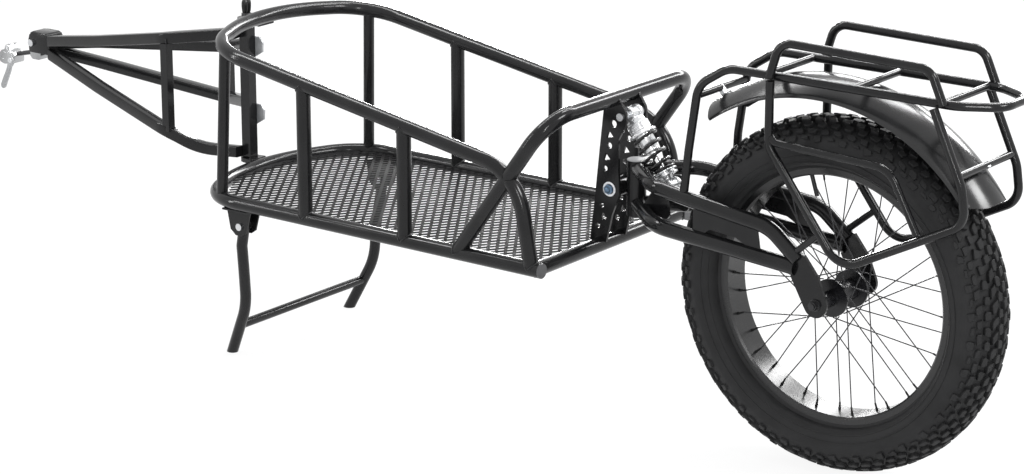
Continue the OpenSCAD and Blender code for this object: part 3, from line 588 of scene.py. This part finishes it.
def make_fender():
    """An arched strip with rounded ends and a rolled edge."""
    bow = (FENDER_HALF ** 2 + FENDER_ARCH ** 2) / (2 * FENDER_ARCH)
    reach = math.radians(FENDER_TO - FENDER_FROM) * FENDER_CROWN
    steps = [reach * (0.5 - 0.5 * math.cos(math.pi * i / FENDER_STEPS)) for i in range(FENDER_STEPS + 1)]

    def half_width(run):
        wide = FENDER_EDGE
        for gap, corner in ((run, REAR_CORNER), (reach - run, FRONT_CORNER)):
            if gap < corner:
                wide = min(wide, FENDER_EDGE - corner + math.sqrt(corner ** 2 - (corner - gap) ** 2))
        return wide

    verts, faces = [], []
    for inner in (0, 1):
        for run in steps:
            angle = math.radians(FENDER_FROM) + run / FENDER_CROWN
            wide = half_width(run)
            for j in range(FENDER_STRIPS + 1):
                y = wide * (2 * j / FENDER_STRIPS - 1)
                lip = LIP_H * max(0.0, abs(y) / FENDER_HALF - 1 + LIP_SPAN) / LIP_SPAN
                r = FENDER_CROWN - bow + math.sqrt(bow ** 2 - y ** 2) - inner * FENDER_T + lip * (1 - inner)
                verts.append(at(FENDER_MID[0] + r * math.cos(angle), y, FENDER_MID[1] + r * math.sin(angle)))
    row = FENDER_STRIPS + 1
    layer = row * len(steps)
    for i in range(len(steps) - 1):
        for j in range(FENDER_STRIPS):
            a = i * row + j
            faces.append((a, a + 1, a + row + 1, a + row))
            faces.append((layer + a, layer + a + row, layer + a + row + 1, layer + a + 1))
        for a in (i * row, i * row + FENDER_STRIPS):
            faces.append((a, a + row, layer + a + row, layer + a))
    for i in (0, len(steps) - 1):
        for j in range(FENDER_STRIPS):
            a = i * row + j
            faces.append((a, a + 1, layer + a + 1, layer + a))
    fender = add_mesh("fender_shell", verts, faces, FENDER, "swingarm")
    sharp_by_angle(fender, 50)
    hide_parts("fender")


# Drawbar tubes

TUBE_W = 20.0
CORNER_R = 2.6
NOSE_X = -1741
POST_FACE_X = -1262
POST_END_X = POST_FACE_X + 6
# Each tube's corner points and the bend radius at each of them
DRAWBAR_TUBES = {
    "fork_upper_tubes": (
        (((NOSE_X, -14, 461), (-1587, -43, 488), (-1375, -82, 530), (POST_END_X, -14, 543)),
         (0, 300, 55, 0)),
        (((NOSE_X, 14, 452), (-1663, 38, 460), (-1375, 82, 484), (POST_END_X, 14, 521)),
         (0, 120, 55, 0)),
    ),
    "fork_lower_tubes": (
        (((NOSE_X, -14, 436), (-1588, -43, 400), (-1380, -82, 357), (-1335, -47, 324),
          (POST_END_X, -14, 322)),
         (0, 300, 50, 110, 0)),
        (((NOSE_X, 14, 434), (-1665, 38, 421), (-1377, 82, 387), (POST_END_X, 14, 408)),
         (0, 120, 55, 0)),
    ),
}


def filleted(points, radii):
    """The points of a path whose corners are rounded, in millimetres."""
    points = [Vector(p) for p in points]
    path = [points[0]]
    for i in range(1, len(points) - 1):
        p, r = points[i], radii[i]
        a, b = (points[i - 1] - p).normalized(), (points[i + 1] - p).normalized()
        half = a.angle(b) / 2
        if r <= 0 or half > math.radians(89.5):
            path.append(p)
            continue
        reach = r / math.tan(half)
        centre = p + (a + b).normalized() * (r / math.sin(half))
        start, end = p + a * reach - centre, p + b * reach - centre
        whole = start.angle(end)
        count = max(4, int(math.degrees(whole) / 3))
        for k in range(count + 1):
            t = k / count
            arm = (start * math.sin((1 - t) * whole) + end * math.sin(t * whole)) / math.sin(whole)
            path.append(centre + arm)
    path.append(points[-1])
    return path


def square_tube(name, path, body):
    """A rounded square tube along a path, its ends cut square to the drawbar's length."""
    corner = TUBE_W / 2 - CORNER_R
    section = []
    for k, (u, v) in enumerate(((1, 1), (-1, 1), (-1, -1), (1, -1))):
        for i in range(4):
            a = math.radians(90 * k + 30 * i)
            section.append((u * corner + CORNER_R * math.cos(a), v * corner + CORNER_R * math.sin(a)))
    verts, faces = [], []
    n = len(section)
    for i, p in enumerate(path):
        ahead = (path[min(i + 1, len(path) - 1)] - path[max(i - 1, 0)]).normalized()
        side = ahead.cross(UP).normalized()
        rise = side.cross(ahead)
        for u, v in section:
            q = p + side * u + rise * v
            if i == 0:
                q = q + ahead * ((NOSE_X - q.x) / ahead.x)
            if i == len(path) - 1:
                q = q + ahead * ((POST_FACE_X - q.x) / ahead.x)
            verts.append(at(*q))
    for i in range(len(path) - 1):
        band(faces, i * n, (i + 1) * n, n)
    close_ends(faces, 0, (len(path) - 1) * n, n)
    tube = add_mesh(name, verts, faces, PAINT, body)
    sharp_by_angle(tube, 40)
    return tube


def make_drawbar():
    """The four bent tubes of the two side frames."""
    for node, tubes in DRAWBAR_TUBES.items():
        parts = [square_tube("tube", filleted(points, radii), "drawbar") for points, radii in tubes]
        piece = joined(node.replace("fork", "drawbar"), parts)
        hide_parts(node)


# Hitch

CHEEK = (15.2, 19)
ROOF_HALF = 15.4
NOSE_SIDE = ((-1796, 433), (-1797, 458), (-1794, 467), (-1787, 473), (-1778, 474), (-1752, 474),
             (-1744, 471), (-1741, 465), (-1741, 433))
NOSE_ROOF = ((-1795, 470), (-1787, 474), (-1750, 474), (-1742, 470), (-1742, 466), (-1795, 466))
NOSE_WEB = ((-1746, 433), (-1746, 472), (-1741, 472), (-1741, 433))
JAW_HALF = 14.5
JAW_SIDE = ((-1844, 402), (-1843, 417), (-1850, 424), (-1857, 427), (-1861, 436), (-1868, 436),
            (-1870, 427), (-1880, 424), (-1887, 416), (-1888, 407), (-1883, 400), (-1872, 397),
            (-1858, 399))
JAW_BOSS = ((-14.9, 5.2), (-14.9, 9.5), (-13.6, 11), (13.6, 11), (14.9, 9.5), (14.9, 5.2))
JAW_NUT = ((0, 0.4), (0, 6.4), (6, 6.4), (7.4, 5.4), (7.4, 0.4))
LEVER_SPAN = (-21.2, -15.4)
LEVER_SIDE = ((-1843, 415), (-1839, 409), (-1842, 401), (-1847, 395), (-1850, 386), (-1860, 366),
              (-1866, 353), (-1871, 350), (-1876, 352), (-1877, 358), (-1871, 370), (-1861, 388),
              (-1857, 398), (-1855, 409), (-1850, 415))
LEVER_BOSS = ((-22.6, 0.4), (-22.6, 4.6), (-21.6, 5.4), (-21.0, 5.4), (-21.0, 0.4))
SWIVEL_SIDE = ((-1799, 424), (-1793, 418.2), (-1776, 418.2), (-1770.2, 426), (-1776, 459.6),
               (-1787, 463.6), (-1797.6, 459.8))
ROD_BACK = (-1790, 0, 431.3)
ROD_FRONT = (-1858, 0, 416)
ROD_R = 4.4
PIN_X = -1252
PIN_R = 5.9
PIN_HEAD = ((572, PIN_R), (572, 9.4), (577, 9.4), (578, 8.6), (578, 0.4))
LOBE_Y = 4.6
LOBE_SIDE = ((578, 0.4), (578, 3.4), (581, 4.6), (585, 5.2), (590, 5.6), (596, 5.6), (600, 4.9),
             (602.4, 3.4), (603.4, 1.6), (603.6, 0.4))


def slab(name, outline, span, mat, body, ease):
    """A side outline with eased edges, from one distance across the trailer to another."""
    bm = bmesh.new()
    face = bm.faces.new([bm.verts.new(at(x, span[0], z)) for x, z in outline])
    made = bmesh.ops.extrude_face_region(bm, geom=[face])
    moved = [v for v in made["geom"] if isinstance(v, bmesh.types.BMVert)]
    bmesh.ops.translate(bm, verts=moved, vec=(0, (span[1] - span[0]) * MM, 0))
    bmesh.ops.recalc_face_normals(bm, faces=bm.faces)
    bmesh.ops.bevel(bm, geom=list(bm.edges), offset=ease * MM, segments=3, profile=0.5, affect="EDGES")
    mesh = bpy.data.meshes.new(name)
    bm.to_mesh(mesh)
    bm.free()
    piece = place(name, mesh, mat, body)
    sharp_by_angle(piece, 50)
    return piece


def make_hitch():
    """The nose bracket, the axle clamp and its cam lever."""
    roof = (-ROOF_HALF, ROOF_HALF)
    nose = [slab("cheek", NOSE_SIDE, (s * CHEEK[0], s * CHEEK[1]), PAINT, "drawbar", 0.8) for s in (-1, 1)]
    nose.append(slab("roof", NOSE_ROOF, roof, PAINT, "drawbar", 0.8))
    nose.append(slab("web", NOSE_WEB, roof, PAINT, "drawbar", 0.6))
    nose = joined("nose_cover", nose)
    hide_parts("nose_bracket")
    jaw = [slab("jaw", JAW_SIDE, (-JAW_HALF, JAW_HALF), HITCH, "coupler", 3.0),
           lathe("boss", JAW_BOSS, at(-1872, 0, 412), ACROSS, HITCH, "coupler", 48),
           lathe("nut", JAW_NUT, at(-1866, 0, 428.4), (-0.15, 0, 1), STEEL, "coupler", 6)]
    jaw = joined("jaw_casting", jaw)
    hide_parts("hitch_jaw")
    lever = [slab("arm", LEVER_SIDE, LEVER_SPAN, LEVER, "lever", 1.6),
             lathe("boss", LEVER_BOSS, at(-1848, 0, 409), ACROSS, STEEL, "lever", 32)]
    lever = joined("lever_arm", lever)
    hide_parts("cam_lever")


def make_swivel():
    """The block that turns on the coupler bolt, and the thin dark rod that carries the clamp."""
    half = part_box("swivel_block")[1][1] / MM
    block = slab("swivel_casting", SWIVEL_SIDE, (-half, half), HITCH, "coupler", 1.6)
    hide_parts("swivel_block")
    back = at(*ROD_BACK)
    reach = at(*ROD_FRONT) - back
    length = reach.length / MM
    profile = ((0, 0.3), (0, ROD_R), (length, ROD_R), (length, 0.3))
    rod = lathe("link_rod", profile, back, reach, DARK_STEEL, "coupler", 24)


def make_pin():
    """The lift-out pin, with a two-lobed head."""
    low = (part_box("hitch_pin")[0][2]) / MM
    profile = ((low, 0.4), (low + 3, PIN_R - 1.6), (low + 5, PIN_R)) + PIN_HEAD
    shaft = lathe("pin_rod", profile, at(PIN_X, 0, 0), UP, DARK_STEEL, "pin", 32)
    lobes = [lathe("lobe", LOBE_SIDE, at(PIN_X, s * LOBE_Y, 0), UP, KNOB, "pin", 28) for s in (-1, 1)]
    head = joined("pin_knob", lobes)
    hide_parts("hitch_pin")


# Welds

RAIL_R = 12.5
HALF_W = 211
FLOOR_Z = 298
RAIL_SLOPE = math.radians(9.8)
RAIL_Z = 371
POST_XS = (-936, -718)
UPRIGHT_X = -454
HOOP_FOOT_X = -607
HOOP_LEAN = math.radians(54)
CROSS_X = -447
SEAM_STEPS = 48
SEAM_RIPPLE = 0.25
SEAM_R = 0.0016


def saddle(base, axis, tube_axis):
    """The seam where a tube meets the side of an equal tube."""
    axis = Vector(axis).normalized()
    along = Vector(tube_axis).normalized()
    x = (along - axis * along.dot(axis)).normalized()
    y = axis.cross(x)
    points = []
    for i in range(SEAM_STEPS):
        a = 2 * math.pi * i / SEAM_STEPS
        side = RAIL_R * math.sin(a)
        rise = math.sqrt(max(0.0, RAIL_R ** 2 - side ** 2))
        ripple = SEAM_RIPPLE if i % 2 else -SEAM_RIPPLE
        points.append(base + (x * math.cos(a) * RAIL_R + y * side + axis * (rise + ripple)) * MM)
    return points


def top_z(x):
    """Height of the sloping top rail."""
    return RAIL_Z - math.tan(RAIL_SLOPE) * x


def make_welds():
    """The rippled beads where posts, uprights, hoop and cross tube meet the rails."""
    seams = []
    slope = Vector((math.cos(RAIL_SLOPE), 0, -math.sin(RAIL_SLOPE)))
    lean = Vector((math.cos(HOOP_LEAN), 0, math.sin(HOOP_LEAN)))
    for s in (-1, 1):
        y = s * HALF_W
        for x in POST_XS:
            seams.append(saddle(at(x, y, FLOOR_Z), UP, ALONG))
            seams.append(saddle(at(x, y, top_z(x)), -UP, slope))
        seams.append(saddle(at(UPRIGHT_X, y, FLOOR_Z), UP, ALONG))
        seams.append(saddle(at(HOOP_FOOT_X, y, FLOOR_Z), lean, ALONG))
        seams.append(saddle(at(CROSS_X, y, FLOOR_Z), ACROSS * -s, ALONG))
    beads = [sweep("bead", points, SEAM_R, WELD, "basket", 8, closed=True) for points in seams]
    joined("basket_welds", beads)


# Pivot rings and caps

PIVOT = (-429, 0, 396)
RING_SIDE = ((0, 8.8), (0, 12.0), (0.9, 12.4), (1.5, 12.0), (1.5, 9.0), (0.9, 8.8))
HEXAGON_SIDE = ((0, 0.4), (0, 8.4), (5.6, 8.4), (7.0, 7.2), (7.0, 0.4))
BOSS_SIDE = ((6.0, 0.4), (6.0, 4.6), (8.0, 4.2), (8.4, 3.4), (8.4, 0.4))
HUB_TUBE_TOP = (-396, 0, 445)
HUB_CAP_SIDE = ((0, 1.3), (0, 16.3), (0.9, 16.3), (1.4, 15.7), (1.4, 1.7), (1.1, 1.3))


def plate_button(name, outline, s, centre, mat, steps):
    """A turned piece that stands out from a pivot plate, on one side or the other."""
    profile = [(s * along, radius) for along, radius in outline]
    return lathe(name, profile, centre, ACROSS, mat, "basket", steps)


def make_pivot_rings():
    """On each side a white ring on the pivot plate, with a hexagonal cap over the bolt."""
    rings, heads = [], []
    lo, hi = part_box("pivot_plates")
    for s, y in ((-1, lo[1]), (1, hi[1])):
        centre = Vector((at(*PIVOT).x, y, at(*PIVOT).z))
        rings.append(plate_button("ring", RING_SIDE, s, centre, WHITE_RING, 64))
        heads.append(plate_button("hexagon", HEXAGON_SIDE, s, centre, NUT, 6))
        heads.append(plate_button("boss", BOSS_SIDE, s, centre, NUT, 32))
    joined("pivot_rings", rings)
    heads = joined("pivot_caps", heads)
    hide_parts("pivot_nuts")


def make_hub_cap():
    """The plug in the top of the swingarm's upright tube."""
    cap = lathe("hub_tube_cap", HUB_CAP_SIDE, at(*HUB_TUBE_TOP), UP, CAP, "swingarm", 64)


# Studio

WHITE = (1, 1, 1, 1)
SKY = (0.95, 0.97, 1, 1)
SKY_STRENGTH = 0.6
FLOOR_COLOUR = (0.92, 0.92, 0.92, 1)
FLOOR_WHITE = 0.9
FLOOR_REACH = 14.0
FLOOR_DROP = -0.0005
# Name, place, target, size and power of each lamp
LAMPS = (
    ("top_strip", (-0.7, 0.4, 2.4), (-0.2, 0, 0.4), (3.2, 0.2), 48),
    ("cross_strip", (0.9, 1.6, 2.3), (0.3, 0, 0.4), (0.3, 2.6), 60),
    ("back_box", (-0.3, 3.6, 2.0), (0.1, 0, 0.5), (3.2, 0.6), 100),
    ("low_back", (-2.2, 3.2, 0.9), (-0.2, 0, 0.5), (0.8, 0.4), 55),
    ("rear_box", (3.3, 0.2, 2.6), (0.9, 0, 0.5), (1.2, 0.8), 60),
    ("side_strip", (-2.6, -2.2, 1.5), (-0.2, 0, 0.4), (0.12, 2.0), 24),
    ("front_box", (2.6, -2.4, 1.6), (0.4, 0, 0.4), (0.16, 1.4), 24),
)


def area_light(name, spot, target, size, power):
    """A rectangular lamp that faces a point."""
    data = bpy.data.lights.new(name, "AREA")
    data.shape = "RECTANGLE"
    data.size, data.size_y = size
    data.energy = power
    lamp = bpy.data.objects.new(name, data)
    lamp.location = spot
    lamp.rotation_euler = (Vector(target) - Vector(spot)).to_track_quat("-Z", "Y").to_euler()
    bpy.context.collection.objects.link(lamp)


def seen_directly(nodes, links):
    """1 for what the camera sees straight, in gloss or through something clear, and 0 for diffuse light."""
    path = nodes.new("ShaderNodeLightPath")
    value = path.outputs["Is Camera Ray"]
    for name in ("Is Glossy Ray", "Is Transmission Ray"):
        either = nodes.new("ShaderNodeMath")
        either.operation = "MAXIMUM"
        links.new(value, either.inputs[0])
        links.new(path.outputs[name], either.inputs[1])
        value = either.outputs["Value"]
    return value


def make_world():
    """A soft plain light from all round, seen as white."""
    world = bpy.data.worlds.new("studio")
    bpy.context.scene.world = world
    world.use_nodes = True
    nodes, links = world.node_tree.nodes, world.node_tree.links
    back = nodes["Background"]
    back.inputs["Color"].default_value = SKY
    back.inputs["Strength"].default_value = SKY_STRENGTH
    seen = nodes.new("ShaderNodeBackground")
    seen.inputs["Color"].default_value = WHITE
    mix = nodes.new("ShaderNodeMixShader")
    links.new(seen_directly(nodes, links), mix.inputs["Fac"])
    links.new(back.outputs["Background"], mix.inputs[1])
    links.new(seen.outputs["Background"], mix.inputs[2])
    links.new(mix.outputs["Shader"], nodes["World Output"].inputs["Surface"])


def make_floor():
    """A pale floor that keeps a faint shadow and is seen as nearly white."""
    mesh = bpy.data.meshes.new("studio_floor")
    corners = [(u * FLOOR_REACH, v * FLOOR_REACH, 0) for u, v in ((-1, -1), (1, -1), (1, 1), (-1, 1))]
    mesh.from_pydata(corners, [], [(0, 1, 2, 3)])
    mat, nodes, links, bsdf = shader("pale_floor")
    bsdf.inputs["Base Color"].default_value = FLOOR_COLOUR
    bsdf.inputs["Roughness"].default_value = 0.9
    bsdf.inputs["Specular IOR Level"].default_value = 0.05
    glow = nodes.new("ShaderNodeEmission")
    glow.inputs["Color"].default_value = WHITE
    glow.inputs["Strength"].default_value = 1.0
    share = nodes.new("ShaderNodeMath")
    share.operation = "MULTIPLY"
    share.inputs[1].default_value = FLOOR_WHITE
    mix = nodes.new("ShaderNodeMixShader")
    links.new(seen_directly(nodes, links), share.inputs[0])
    links.new(share.outputs["Value"], mix.inputs["Fac"])
    links.new(bsdf.outputs["BSDF"], mix.inputs[1])
    links.new(glow.outputs["Emission"], mix.inputs[2])
    links.new(mix.outputs["Shader"], nodes["Material Output"].inputs["Surface"])
    mesh.materials.append(mat)
    floor = bpy.data.objects.new("studio_floor", mesh)
    floor.location = (0, 0, FLOOR_DROP)
    bpy.context.collection.objects.link(floor)


def make_studio():
    make_world()
    make_floor()
    for lamp in LAMPS:
        area_light(*lamp)


bpy.context.scene.view_settings.view_transform = "Standard"
make_camera()
dress_nodes()
make_tyre()
make_nipples()
make_floor_mesh()
make_spring()
make_shock()
make_fender()
make_drawbar()
make_hub_cap()
make_hitch()
make_swivel()
make_pin()
make_welds()
make_pivot_rings()
make_studio()
